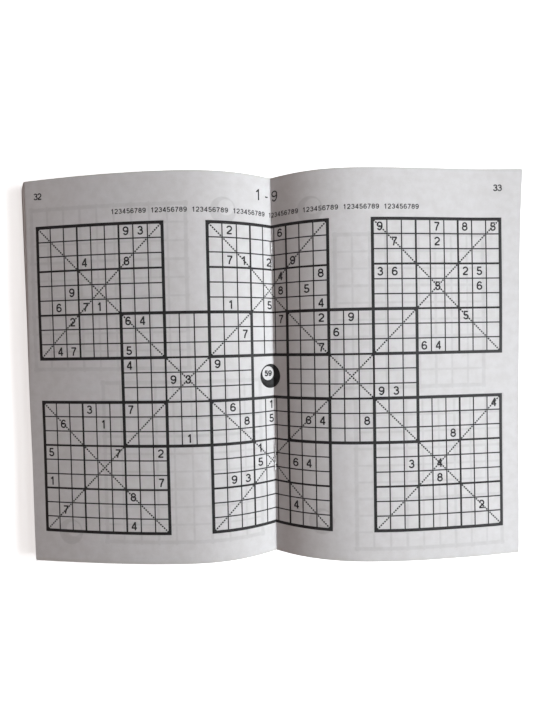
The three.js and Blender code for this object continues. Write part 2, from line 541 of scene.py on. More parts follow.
@dataclass(frozen=True)
class CoverFinish:
    """Coated cover stock: blue outside, white inside, worn along the edges."""

    outside: Colour = (0.03, 0.11, 0.24, 1.0)
    outside_faded: Colour = (0.045, 0.14, 0.28, 1.0)
    inside: Colour = (0.66, 0.655, 0.64, 1.0)
    banded: Colour = (0.012, 0.045, 0.11, 1.0)
    worn: Colour = (0.6, 0.6, 0.58, 1.0)
    roughness: Pair = (0.34, 0.5)
    coat: float = 0.3
    relief: Pair = (0.02 * MM, 0.4)  # height and strength
    cloud: float = 90.0  # features per metre
    fibre: float = 1500.0
    rim: float = 0.9 * MM  # width of the worn edge
    band: Pair = (87.0 * MM, 87.1 * MM)  # height where the dark bands at head and tail start, and are full
    crease: Pair = (1.0 * MM, 3.2 * MM)  # rubbed strip along the fold: full, and its end
    crease_share: float = 0.8  # how far it is rubbed
    cracks: float = 900.0  # per metre
    cracked: Pair = (0.45, 0.62)  # noise that counts as whole, and as cracked

    def material(self, name: str, effects: Effects, size: Pair) -> Material:
        """Builds the cover stock.

        Args:
            name: The material's name.
            effects: The shared node groups.
            size: Fold to fore edge and half the cover height.

        Returns:
            The material.
        """
        material, board, shader = new_material(name)
        place, page, which = board.page_place()
        grain = board.group(effects.grain, {"Place": place, "Cloud": self.cloud, "Fibre": self.fibre})
        tone = grain.outputs["Tone"]
        outside = board.mix(board.ramp(tone, *TONE_SPAN), self.outside, self.outside_faded)
        out, up, _ = board.add("ShaderNodeSeparateXYZ", {0: page}).outputs
        outside = board.mix(board.ramp(board.math("ABSOLUTE", up), *self.band), outside, self.banded)
        rim = board.group(effects.rim, {"Place": page, "Size": (*size, 0.0), "Reach": self.rim})
        outside = board.mix(rim.outputs["Mask"], outside, self.worn)
        cracks = board.ramp(board.noise(place, self.cracks, detail=4.0, roughness=0.7), *self.cracked)
        rubbed = board.math("MULTIPLY", board.ramp(out, *self.crease, self.crease_share, 0.0), cracks)
        outside = board.mix(rubbed, outside, self.worn)
        colour = board.mix(board.ramp(which, -0.6, -0.5), outside, self.inside)
        rough = board.ramp(tone, *ROUGH_SPAN, *self.roughness)
        board.dress(shader, {"Base Color": colour, "Roughness": rough, "Coat Weight": self.coat})
        bump(board, shader, grain.outputs["Height"], *self.relief)
        return material


@dataclass(frozen=True)
class WireFinish:
    """Drawn steel wire with fine lengthwise scratches."""

    bright: Colour = (0.92, 0.92, 0.93, 1.0)
    dark: Colour = (0.5, 0.5, 0.51, 1.0)
    roughness: Pair = (0.2, 0.42)
    relief: Pair = (0.01 * MM, 0.5)  # height and strength
    drawn: Triple = (9000.0, 350.0, 9000.0)  # scratches per metre, long ones along the fold
    tarnish: float = 900.0  # spots per metre
    spots: Pair = (0.35, 0.6)  # tarnish that counts as fully dark, and as fully bright

    def material(self, name: str) -> Material:
        """Builds the wire's metal.

        Args:
            name: The material's name.

        Returns:
            The material.
        """
        material, board, shader = new_material(name)
        place = board.add("ShaderNodeTexCoord").outputs["Object"]
        scratch = board.noise(board.vector("MULTIPLY", place, self.drawn), 1.0, roughness=0.6)
        tarnish = board.noise(place, self.tarnish, roughness=0.6)
        share = board.ramp(board.weigh(tarnish, 0.6, scratch), *self.spots)
        colour = board.mix(share, self.dark, self.bright)
        rough = board.ramp(scratch, *ROUGH_SPAN, *self.roughness)
        board.dress(shader, {"Base Color": colour, "Roughness": rough, "Metallic": 1.0})
        bump(board, shader, scratch, *self.relief)
        return material


def link(name: str, mesh: Mesh, material: Material) -> Piece:
    """Puts a mesh into the scene as a named piece with its material.

    Args:
        name: The piece's name.
        mesh: Its mesh.
        material: Its finish.

    Returns:
        The new object.
    """
    piece = bpy.data.objects.new(name, mesh)
    bpy.context.scene.collection.objects.link(piece)
    mesh.materials.append(material)
    return piece


def middle_line(node: str) -> tuple[np.ndarray, float]:
    """Reads a leaf's middle line and thickness from its CAD solid.

    Args:
        node: Name of a leaf or cover node.

    Returns:
        Points (distance out, height) from the fold to the fore edge, and the thickness.
    """
    corners = np.array([v.co[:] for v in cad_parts[node].data.vertices])
    head = corners[corners[:, 1] > 0]
    rim = np.unique(np.c_[np.abs(head[:, 0]), head[:, 2]], axis=0)
    gaps = np.linalg.norm(rim[:, None] - rim[None], axis=2)
    np.fill_diagonal(gaps, np.inf)
    middle = np.unique((rim + rim[gaps.argmin(axis=1)]) / 2, axis=0)
    return middle, float(np.median(gaps.min(axis=1)))


def lengths(points: np.ndarray) -> np.ndarray:
    """Returns the distance along a line at each of its points."""
    return np.r_[0.0, np.cumsum(np.linalg.norm(np.diff(points, axis=0), axis=1))]


def smoothed(points: np.ndarray, count: int) -> np.ndarray:
    """Runs a smooth curve through points and spaces new points on it, closer at both ends.

    Args:
        points: Points of the line.
        count: Even stretches before the fine ones at the far end.

    Returns:
        Points on the curve.
    """
    along = lengths(points)
    run = np.gradient(points, along, axis=0, edge_order=2)
    end = along[-1]
    even = np.linspace(0.0, end - FINE_EDGE[0], count + 1)[1:-1]
    places = np.r_[FINE_FOLD, even, end - np.array(FINE_EDGE)]
    k = np.clip(np.searchsorted(along, places, side="right") - 1, 0, len(along) - 2)
    span = (along[k + 1] - along[k])[:, None]
    t = (places - along[k])[:, None] / span
    return (
        (1 + 2 * t) * (1 - t) ** 2 * points[k]
        + t * (1 - t) ** 2 * span * run[k]
        + t**2 * (3 - 2 * t) * points[k + 1]
        - t**2 * (1 - t) * span * run[k + 1]
    )


def eased(value: np.ndarray, low: float, high: float) -> np.ndarray:
    """Returns a smooth step from 0 at low to 1 at high."""
    t = np.clip((value - low) / (high - low), 0.0, 1.0)
    return t * t * (3 - 2 * t)


@dataclass(frozen=True)
class Lie:
    """How the leaves of one side depart from their plain arch. A lower leaf departs less."""

    edge: float = 0.0  # fore edge, upwards
    twist: float = 0.0  # outer half, down at the head and up at the tail
    roll: float = 0.0  # last strip of the fore edge near the head, downwards
    ripple: float = 0.0  # waves along the fore edge
    edge_out: float = 90 * MM
    twist_out: tuple[float, float, float, float] = (20 * MM, 85 * MM, 110 * MM, 145 * MM)
    twist_up: float = 105 * MM
    roll_width: float = 1.0 * MM
    roll_up: Pair = (-20 * MM, 80 * MM)
    ripple_length: float = 120 * MM
    ripple_from: float = 0.3  # share of the width where the waves start

    def lift(self, out: np.ndarray, up: np.ndarray, phase: float) -> np.ndarray:
        """Works out how far the paper lies above its arch.

        Args:
            out: Distances from the fold, as a column.
            up: Heights on the page, as a row.
            phase: Where along the page the ripple starts, in radians.

        Returns:
            Heights for every pair.
        """
        width = out.max()
        outer = np.clip((out - self.edge_out) / (width - self.edge_out), 0.0, 1.0) ** 2
        belly = eased(out, *self.twist_out[:2]) * (1 - eased(out, *self.twist_out[2:]))
        strip = np.clip((out - width + self.roll_width) / self.roll_width, 0.0, 1.0) ** 2
        wave = np.sin(2 * math.pi * up / self.ripple_length + phase)
        wave = wave * eased(out, self.ripple_from * width, width)
        leaning = self.edge * outer - self.twist * belly * up / self.twist_up
        return leaning - self.roll * strip * eased(up, *self.roll_up) + self.ripple * wave


@dataclass(frozen=True)
class Trim:
    """How the knife cut the closed booklet, a little askew, and how its corners have worn."""

    skew: Pair = (0.0036, 0.0)  # left and right fore edge farther out at the head, per height
    wider: Pair = (0.42 * MM, -1.75 * MM)  # the same at mid height: folded off the middle
    flare: Pair = (0.0, 2.0 * MM)  # the same at the head corner
    flare_up: float = 20 * MM  # height where the flare starts
    drop: Pair = (-1.2 * MM, 0.0)  # head and tail edges off square at the fore edge
    bumped: float = 2.4 * MM  # radius of the knocked corner: left of the fold, at the head
    corner: float = 0.7 * MM  # radius of the others

    def cut(self, reach: np.ndarray, up: np.ndarray) -> tuple[np.ndarray, np.ndarray]:
        """Moves points of a square sheet to the cut outline.

        Args:
            reach: Distances from the fold, negative on the left.
            up: Heights on the page.

        Returns:
            The moved distances and heights.
        """
        out, side = np.abs(reach), np.sign(reach)
        width, half = out.max(), np.abs(up).max()
        radius = np.where((side < 0) & (up > 0), self.bumped, self.corner)
        a = np.clip(1 - (width - out) / radius, 0.0, 1.0)
        b = np.clip(1 - (half - np.abs(up)) / radius, 0.0, 1.0)
        out = out + radius * (a * np.sqrt(1 - b * b / 2) - a)
        high = up + np.sign(up) * radius * (b * np.sqrt(1 - a * a / 2) - b)
        left = side < 0
        drop = np.where(left, *self.drop)
        rising = np.clip((high - self.flare_up) / (half - self.flare_up), 0.0, 1.0)
        flare = np.where(left, *self.flare) * rising**2
        wider = np.where(left, *self.skew) * high + np.where(left, *self.wider) + flare
        return side * (out + out / width * wider), high + drop * (out / width) ** 3


@dataclass
class Sheet:
    """A curved sheet of paper: a middle line across the fold, run from tail to head."""

    line: np.ndarray  # (x, z) points from left to right
    reach: np.ndarray  # distance from the fold along the paper, negative on the left
    up: np.ndarray  # places from tail to head
    thickness: float
    lift: np.ndarray  # height above the middle line for every reach and place
    trim: Trim = Trim()
    sharp: float = 50.0  # degrees between faces that show as an edge
    normal: np.ndarray = field(init=False)

    def __post_init__(self) -> None:
        """Works out the paper's upward normals."""
        run = np.gradient(self.line, self.reach, axis=0)
        normal = np.c_[-run[:, 1], run[:, 0]]
        normal[np.isclose(self.line[:, 0], 0.0)] = (0.0, 1.0)
        self.normal = normal / np.linalg.norm(normal, axis=1)[:, None]

    def place(self, reach: np.ndarray, up: np.ndarray, off: np.ndarray) -> np.ndarray:
        """Finds points on or near the sheet.

        Args:
            reach: Distances from the fold along the paper.
            up: Heights on the page.
            off: Distances from the middle surface.

        Returns:
            Points in the frame, one row each.
        """
        i = np.clip(np.searchsorted(self.reach, reach) - 1, 0, len(self.reach) - 2)
        j = np.clip(np.searchsorted(self.up, up) - 1, 0, len(self.up) - 2)
        a = (reach - self.reach[i]) / (self.reach[i + 1] - self.reach[i])
        b = (up - self.up[j]) / (self.up[j + 1] - self.up[j])
        near = self.lift[i, j] * (1 - b) + self.lift[i, j + 1] * b
        far = self.lift[i + 1, j] * (1 - b) + self.lift[i + 1, j + 1] * b
        raised = (near * (1 - a) + far * a + off)[:, None]
        a = a[:, None]
        flat = self.line[i] * (1 - a) + self.line[i + 1] * a
        flat = flat + (self.normal[i] * (1 - a) + self.normal[i + 1] * a) * raised
        return np.c_[flat[:, 0], up, flat[:, 1]]

    def mesh(self, name: str) -> Mesh:
        """Builds the sheet as a closed solid that knows its place on the page.

        Args:
            name: The mesh's name.

        Returns:
            The mesh.
        """
        reach, up = (grid.ravel() for grid in np.meshgrid(self.reach, self.up, indexing="ij"))
        reach, up = self.trim.cut(reach, up)
        half = np.full(reach.shape, self.thickness / 2)
        points = np.vstack([self.place(reach, up, half), self.place(reach, up, -half)])
        index = np.arange(len(reach)).reshape(len(self.reach), len(self.up))
        corners = [index[:-1, :-1], index[1:, :-1], index[1:, 1:], index[:-1, 1:]]
        upper = np.stack(corners, axis=-1).reshape(-1, 4)
        ring = np.concatenate([index[:, 0], index[-1, 1:], index[-2::-1, -1], index[0, -2:0:-1]])
        after = np.roll(ring, -1)
        count = len(reach)
        rim = np.c_[ring, ring + count, after + count, after]
        faces = np.vstack([upper, upper[:, ::-1] + count, rim])
        mesh = bpy.data.meshes.new(name)
        mesh.from_pydata(points.tolist(), [], faces.tolist())
        places = np.c_[np.tile(reach, 2), np.tile(up, 2), np.repeat([Face.UPPER, Face.UNDER], count)]
        attribute = mesh.attributes.new(PAGE_PLACE, "FLOAT_VECTOR", "POINT")
        attribute.data.foreach_set("vector", places.astype(np.float32).ravel())
        mesh.shade_smooth()
        mesh.set_sharp_from_angle(angle=math.radians(self.sharp))
        return mesh


def cut_places(low: float, high: float, count: int) -> np.ndarray:
    """Returns places from low to high: count even stretches, and closer ones at both ends."""
    inner = np.linspace(low + FINE_EDGE[0], high - FINE_EDGE[0], count + 1)[1:-1]
    return np.r_[low + np.array(FINE_EDGE[::-1]), inner, high - np.array(FINE_EDGE)]


def leaf_sheet(node: str, side: Side, across: int, along: int, lie: Lie, phase: float, dip: float) -> Sheet:
    """Makes the smooth sheet that stands for a CAD leaf, carried on through the crease to the middle.

    Args:
        node: Name of the leaf's node.
        side: Side of the fold.
        across: Even stretches from the fold to the fore edge.
        along: Stretches from tail to head.
        lie: How the leaf departs from its arch.
        phase: Start of its ripple.
        dip: How far the crease lies below the leaf's foot.

    Returns:
        The sheet.
    """
    middle, thickness = middle_line(node)
    arch = smoothed(middle, across)
    foot = arch[0]
    climb = (arch[1, 1] - foot[1]) / (arch[1, 0] - foot[0])
    share = np.linspace(0.0, 1.0, FOLD_STEPS, endpoint=False)
    fall = dip * (1 - share ** (climb * foot[0] / dip))
    line = np.vstack([np.c_[share * foot[0], foot[1] - fall], arch])
    out = lengths(line)
    low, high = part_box(node)
    up = cut_places(low.y, high.y, along)
    lift = lie.lift(out[:, None], up[None, :], phase)
    if side is Side.LEFT:
        line, out, lift = line[::-1] * (-1.0, 1.0), -out[::-1], lift[::-1]
    return Sheet(line, out, up, thickness, lift)


Shape = tuple[np.ndarray, list[tuple[int, ...]]]  # flat points, and the corners of each face


def arc(middle: Pair, radii: Pair, start: float, end: float, step: float = 10.0) -> np.ndarray:
    """Draws part of an upright ellipse.

    Args:
        middle: Its centre.
        radii: Half its width and half its height.
        start: First angle in degrees, from the right and counter-clockwise.
        end: Last angle.
        step: Degrees from point to point, or a little less.

    Returns:
        Points along it.
    """
    turns = np.radians(np.linspace(start, end, 2 + int(abs(end - start) / step)))
    return np.array(middle) + np.c_[np.cos(turns), np.sin(turns)] * radii


def stroke(line: np.ndarray, width: float) -> Shape:
    """Inks a line with a pen of even width.

    Args:
        line: Points of its middle; a line that ends where it starts is closed.
        width: Width of the pen.

    Returns:
        A strip of faces.
    """
    closed = np.allclose(line[0], line[-1])
    run = np.diff(line, axis=0)
    square = np.c_[-run[:, 1], run[:, 0]] / np.linalg.norm(run, axis=1)[:, None]
    before = np.vstack([square[-1:] if closed else square[:1], square])
    after = np.vstack([square, square[:1] if closed else square[-1:]])
    mitre = (before + after) / (1 + np.sum(before * after, axis=1))[:, None]
    points = np.vstack([line - mitre * width / 2, line + mitre * width / 2])
    count = len(line)
    return points, [(k, k + 1, count + k + 1, count + k) for k in range(count - 1)]


@dataclass
class Numerals:
    """Plain digits drawn with a pen of even width, one unit high and centred."""

    pen: float
    wide: float = 0.262  # half the width of a large bowl, in the middle of the pen
    tall: float = 0.237  # half its height
    small: Pair = (0.222, 0.206)  # half the width and height of a small bowl
    known: dict[str, list[Shape]] = field(default_factory=dict)

    def lines(self, sign: str) -> list[np.ndarray]:
        """Lays out a sign.

        Args:
            sign: A digit or a hyphen.

        Returns:
            The middle lines of its strokes.
        """
        top = 0.5 - self.pen / 2
        bowl = (self.wide, self.tall)
        high, low = (0.0, top - self.small[1]), (0.0, self.tall - top)
        neck = (self.wide, 0.245)
        if sign == "9":
            return [-line for line in self.lines("6")]
        drawn = {
            "0": [arc((0, 0), (self.wide, top), 0, 360)],
            "1": [[(0.07, -0.5), (0.07, 0.5)], [(-0.17, 0.235), (-0.03, 0.32), (0.07, 0.44)]],
            "2": [
                [*arc((0, top - neck[1]), neck, 168, -38), (-0.2, -0.31), (-0.265, -top)],
                [(-0.3, -top), (0.29, -top)],
            ],
            "3": [arc(high, self.small, 165, -95), arc(low, bowl, 100, -165)],
            "4": [
                [(0.13, -0.5), (0.13, 0.5)],
                [(0.12, 0.44), (-0.26, -0.17)],
                [(-0.31, -0.22), (0.31, -0.22)],
            ],
            "5": [[(-0.17, top), (0.25, top)], [(-0.15, 0.5), (-0.215, 0.02)], arc(low, bowl, 142, -165)],
            "6": [arc(low, bowl, 0, 360), arc((0.02, -0.03), (self.wide + 0.02, top + 0.03), 200, 40)],
            "7": [[(-0.29, top), (0.29, top)], [(0.27, top), (0.1, 0.14), (-0.03, -0.14), (-0.1, -0.5)]],
            "8": [arc(high, self.small, 0, 360), arc(low, bowl, 0, 360)],
            "-": [[(-0.15, -0.1), (0.15, -0.1)]],
        }
        return [np.array(line) for line in drawn[sign]]

    def glyph(self, sign: str) -> list[Shape]:
        """Inks a sign, if that isn't done yet.

        Args:
            sign: A digit or a hyphen.

        Returns:
            Its strokes.
        """
        if sign not in self.known:
            self.known[sign] = [stroke(line, self.pen) for line in self.lines(sign)]
        return self.known[sign]


@dataclass
class Founts:
    """The booklet's digits in three weights."""

    plain: Numerals = field(default_factory=lambda: Numerals(pen=0.168))
    slim: Numerals = field(default_factory=lambda: Numerals(pen=0.12))
    bold: Numerals = field(default_factory=lambda: Numerals(pen=0.23))


def cut_print(flat: bmesh.types.BMesh, point: Triple, normal: Triple, drop: bool = False) -> None:
    """Cuts flat print along a plane.

    Args:
        flat: The print.
        point: A point of the plane.
        normal: Its normal.
        drop: Whether the print on the normal's side goes.
    """
    everything = [*flat.verts, *flat.edges, *flat.faces]
    bmesh.ops.bisect_plane(
        flat, geom=everything, dist=1e-8, plane_co=point, plane_no=normal, clear_outer=drop
    )


@dataclass
class Artwork:
    """Flat print on unrolled paper. As the reader sees it, places right of the fold are positive."""

    shapes: bmesh.types.BMesh = field(default_factory=bmesh.new)
    film: float = 0.02 * MM  # how far the ink stands above the paper
    over: float = 0.1  # how much higher each further stroke of a sign stands, in films
    depth: float = 1.5  # thickness of the ink, in films, so that it reaches into the paper

    def polygons(self, points: np.ndarray, faces: list[tuple[int, ...]], over: float = 0.0) -> None:
        """Adds shapes.

        Args:
            points: Flat points.
            faces: Corners of each face, counter-clockwise.
            over: Extra height over other print.
        """
        made = [self.shapes.verts.new((x, y, self.film + over)) for x, y in points]
        for face in faces:
            self.shapes.faces.new([made[k] for k in face])

    def rules(self, boxes: list[Box]) -> None:
        """Adds the union of upright rectangles as one net of faces.

        Args:
            boxes: Left, low, right and high sides.
        """
        sides = np.round(np.array(boxes), 7)
        xs = np.unique(sides[:, [0, 2]])
        ys = np.unique(sides[:, [1, 3]])
        filled = np.zeros((len(xs) - 1, len(ys) - 1), bool)
        for left, low, right, high in sides:
            columns = slice(*np.searchsorted(xs, (left, right)))
            filled[columns, slice(*np.searchsorted(ys, (low, high)))] = True
        corner = np.arange(len(xs) * len(ys)).reshape(len(xs), len(ys))
        i, j = np.nonzero(filled)
        faces = np.c_[corner[i, j], corner[i + 1, j], corner[i + 1, j + 1], corner[i, j + 1]]
        used, packed = np.unique(faces, return_inverse=True)
        points = np.c_[xs[used // len(ys)], ys[used % len(ys)]]
        self.polygons(points, [tuple(f) for f in packed.reshape(-1, 4).tolist()])

    def digits(self, numerals: Numerals, text: str, at: Pair, height: float, pitch: float = 0.0) -> None:
        """Adds a row of signs centred on a place.

        Args:
            numerals: The digits to use.
            text: Signs in order; a blank leaves a gap.
            at: Middle of the row.
            height: Digit height.
            pitch: Distance from sign to sign.
        """
        for k, sign in enumerate(text):
            shift = (at[0] + (k - (len(text) - 1) / 2) * pitch, at[1])
            strokes = [] if sign == " " else numerals.glyph(sign)
            for layer, (points, faces) in enumerate(strokes, 1):
                self.polygons(points * height + shift, faces, over=self.over * layer * self.film)

    def dashes(self, start: np.ndarray, end: np.ndarray, count: int, share: float = 0.66) -> None:
        """Adds a dashed line between two crossings.

        Args:
            start: One end.
            end: The other end.
            count: Even stretches, with a dash where two of them meet and none at the ends.
            share: Length of a dash in a stretch.
        """
        run = end - start
        across = np.array([-run[1], run[0]]) / np.linalg.norm(run) * Rule.DASH.value / 2
        along = run / count * share / 2
        for k in range(1, count):
            middle = start + run * k / count
            first, last = middle - along, middle + along
            corners = np.array([first - across, last - across, last + across, first + across])
            self.polygons(corners, [(0, 1, 2, 3)])

    def puzzle(self, numerals: Numerals, block: Block, hand: Side, seed: int, height: float) -> None:
        """Adds a nine by nine grid with its clues.

        Args:
            numerals: The digits to use.
            block: The grid's place on its page.
            hand: Side of the fold on which the reader sees the page.
            seed: Choice of the clues.
            height: Digit height.
        """
        steps = np.arange(10) * block.cell
        self.rules(grid_rules(np.sort(hand * (block.near + steps)), block.foot + steps))
        boxes = [(r, c) for r in (0, 3, 6) for c in (0, 3, 6)]
        for row, column, digit in Clues(seed).chosen(boxes):
            out = block.near + (column + 0.5) * block.cell
            up = block.foot + (row + 0.5) * block.cell
            self.digits(numerals, digit, (hand * out, up), height)

    def badge(self, numerals: Numerals, badge: Badge, number: int, at: Pair, sides: int = 48) -> None:
        """Adds a badge with its number.

        Args:
            numerals: The digits to use.
            badge: Its sizes.
            number: What to print in it.
            at: Its middle.
            sides: Corners of its circles.
        """
        turns = 2 * math.pi * np.arange(sides) / sides
        circle = np.c_[np.cos(turns), np.sin(turns)]
        hole = np.array(at) + badge.shift
        points = np.vstack([circle * badge.radius + at, circle * badge.hole + hole])
        faces = [(k, (k + 1) % sides, sides + (k + 1) % sides, sides + k) for k in range(sides)]
        self.polygons(points, faces)
        self.digits(numerals, str(number), tuple(hole), *badge.digits)

    def lay(self, sheet: Sheet, hand: Side, face: Face, name: str, ink: Material) -> Piece:
        """Lays the print of one page on a sheet as a closed film of ink.

        Args:
            sheet: The paper.
            hand: Side of the fold on which the reader sees the page.
            face: Face of the paper that the page is on.
            name: The piece's name.
            ink: Its finish.

        Returns:
            The print.
        """
        flat = self.shapes.copy()
        cut_print(flat, (0, 0, 0), (-hand, 0, 0), drop=True)
        side = hand * face
        lines = sheet.reach[sheet.reach * side > 0]
        for line in lines:
            cut_print(flat, (hand * abs(line), 0, 0), (1, 0, 0))
        for line in sheet.up:
            cut_print(flat, (0, line, 0), (0, 1, 0))
        places = np.array([v.co[:] for v in flat.verts])
        out = np.clip(np.abs(places[:, 0]), 0.0, np.abs(lines).max())
        off = (sheet.thickness / 2 + places[:, 2]) * face
        for vert, point in zip(flat.verts, sheet.place(out * side, places[:, 1], off)):
            vert.co = point
        mesh = bpy.data.meshes.new(name)
        flat.to_mesh(mesh)
        flat.free()
        mesh.shade_smooth()
        piece = link(name, mesh, ink)
        film = piece.modifiers.new("film", "SOLIDIFY")
        film.thickness = self.depth * self.film
        film.offset = -1.0
        return piece


@dataclass
class Clues:
    """Digits that a valid solution leaves printed, chosen box by box."""

    seed: int
    order: str = "471825936"  # first row of the solution
    chances: tuple[int, ...] = (0, 1, 1, 2, 2, 2, 3)  # numbers of clues that a box draws from

    def digit(self, row: int, column: int) -> str:
        """Returns the solution's digit, valid in each grid that starts on a multiple of three."""
        return self.order[(3 * (row % 3) + row // 3 + column) % 9]

    def chosen(self, boxes: list[tuple[int, int]]) -> list[tuple[int, int, str]]:
        """Picks the printed digits.

        Args:
            boxes: First row and column of each three by three box.

        Returns:
            Row, column and digit of each clue.
        """
        draw = random.Random(self.seed)
        clues = []
        for row, column in sorted(boxes):
            for k in draw.sample(range(9), draw.choice(self.chances)):
                r, c = row + k // 3, column + k % 3
                clues.append((r, c, self.digit(r, c)))
        return clues


def grid_rules(xs: np.ndarray, ys: np.ndarray) -> list[Box]:
    """Draws a nine by nine grid.

    Args:
        xs: The ten upright lines.
        ys: The ten level lines.

    Returns:
        Rectangles of its lines.
    """
    edge = Rule.BORDER.value / 2
    left, right, low, high = xs.min() - edge, xs.max() + edge, ys.min() - edge, ys.max() + edge
    boxes = []
    for k in range(10):
        rule = Rule.BORDER if k in (0, 9) else Rule.BOX if k % 3 == 0 else Rule.CELL
        half = rule.value / 2
        boxes.append((xs[k] - half, low, xs[k] + half, high))
        boxes.append((left, ys[k] - half, right, ys[k] + half))
    return boxes


@dataclass
class SpreadPrint:
    """The puzzle across pages 32 and 33: eight linked grids with dashed diagonals."""

    cell_wide: float = 7.868 * MM
    cell_high: float = 7.925 * MM
    fold_column: float = 16.768  # cells from the left side of the puzzle to the fold
    head: float = 78.206 * MM  # height of the puzzle's upper side
    rows: tuple[int, ...] = (0, 6, 12)  # first rows of the grids
    columns: tuple[tuple[int, ...], ...] = ((0, 12, 24), (6, 18), (0, 12, 24))  # and their first columns
    seed: int = 3233  # choice of the clues
    numeral: float = 4.65 * MM
    folio_size: Pair = (3.6 * MM, 2.376 * MM)  # height and pitch
    folios: tuple[tuple[str, float, float], ...] = (
        ("32", -131.0 * MM, 95.2 * MM),
        ("33", 126.5 * MM, 95.0 * MM),
    )
    badge: Badge = Badge()
    badge_at: Pair = (-2.3 * MM, -5.0 * MM)
    number: int = 59
    dashes: int = 8  # stretches along a cell's diagonal
    heading: str = "1-9"
    heading_at: Pair = (-3.0 * MM, 94.8 * MM)
    heading_size: Pair = (6.0 * MM, 5.6 * MM)
    legend: str = " ".join(["123456789"] * 8)
    legend_at: Pair = (-3.2 * MM, 84.6 * MM)
    legend_size: Pair = (2.65 * MM, 2.17 * MM)

    def corner(self, row: int, column: int) -> np.ndarray:
        """Returns the head-left corner of a cell."""
        return np.array([(column - self.fold_column) * self.cell_wide, self.head - row * self.cell_high])

    def build(self, founts: Founts) -> Artwork:
        """Draws the whole spread flat.

        Args:
            founts: The digits to use.

        Returns:
            The artwork.
        """
        art = Artwork()
        boxes, diagonals, rules = set(), set(), []
        grids = [(row, column) for row, columns in zip(self.rows, self.columns) for column in columns]
        for row, column in grids:
            xs = np.array([self.corner(0, column + k)[0] for k in range(10)])
            ys = np.array([self.corner(row + k, 0)[1] for k in range(10)])
            rules += grid_rules(xs, ys)
            boxes |= {(row + r, column + c) for r in (0, 3, 6) for c in (0, 3, 6)}
            diagonals |= {(row + k, column + k, 1) for k in range(9)}
            diagonals |= {(row + k, column + 8 - k, -1) for k in range(9)}
        art.rules(rules)
        for row, column, lean in sorted(diagonals):
            start = self.corner(row, column if lean > 0 else column + 1)
            end = start + (lean * self.cell_wide, -self.cell_high)
            art.dashes(start, end, self.dashes)
        middle = np.array([self.cell_wide, -self.cell_high]) / 2
        for row, column, digit in Clues(self.seed).chosen(list(boxes)):
            art.digits(founts.plain, digit, tuple(self.corner(row, column) + middle), self.numeral)
        for number, out, up in self.folios:
            art.digits(founts.plain, number, (out, up), *self.folio_size)
        art.badge(founts.bold, self.badge, self.number, self.badge_at)
        art.digits(founts.slim, self.heading, self.heading_at, *self.heading_size)
        art.digits(founts.plain, self.legend, self.legend_at, *self.legend_size)
        return art


@dataclass
class PuzzlePage:
    """A single page with two grids."""

    number: int
    design: PageDesign
    first: int  # number of its first puzzle
    numeral: float = 5.6 * MM
    folio_at: Pair = (128.5 * MM, 95.0 * MM)
    folio_size: Pair = (3.4 * MM, 2.1 * MM)  # height and pitch

    @property
    def hand(self) -> Side:
        """Side of the fold on which the reader sees the page: odd pages on the right."""
        return Side.RIGHT if self.number % 2 else Side.LEFT

    def build(self, founts: Founts) -> Artwork:
        """Draws the page flat.

        Args:
            founts: The digits to use.

        Returns:
            The artwork.
        """
        art = Artwork()
        for k, block in enumerate(self.design.blocks):
            art.puzzle(founts.plain, block, self.hand, 10 * self.number + k, self.numeral)
        for k, (out, up) in enumerate(self.design.badges):
            art.badge(founts.bold, self.design.badge, self.first + k, (self.hand * out, up))
        at = (self.hand * self.folio_at[0], self.folio_at[1])
        art.digits(founts.plain, str(self.number), at, *self.folio_size)
        return art


@dataclass
class CoverPrint:
    """White print outside the cover: numerals over a large grid in front, a small grid behind."""

    front: Block = Block(25.5 * MM, -66.0 * MM, 10.0 * MM)
    back: Block = Block(43.0 * MM, -27.0 * MM, 6.0 * MM)
    heading: str = "1-9"
    heading_at: Pair = (70.5 * MM, 53.0 * MM)
    heading_size: Pair = (24.0 * MM, 21.0 * MM)  # height and pitch
    rule: Triple = (10.0 * MM, 128.0 * MM, 84.0 * MM)  # long lines: start, end and height
    rule_width: float = 0.8 * MM
    numeral: float = 0.62  # digit height in a cell
    seed: int = 64  # choice of the clues

    def build(self, hand: Side, numerals: Numerals) -> Artwork:
        """Draws one half of the cover flat.

        Args:
            hand: The front is seen on the right of its fold, the back on the left.
            numerals: Digits of the print.

        Returns:
            The artwork.
        """
        art = Artwork()
        block = self.front if hand is Side.RIGHT else self.back
        art.puzzle(numerals, block, hand, self.seed + hand, self.numeral * block.cell)
        start, end, high = self.rule
        for up in (-high, high):
            left, right = sorted((hand * start, hand * end))
            art.rules([(left, up - self.rule_width / 2, right, up + self.rule_width / 2)])
        if hand is Side.RIGHT:
            art.digits(numerals, self.heading, self.heading_at, *self.heading_size)
        return art


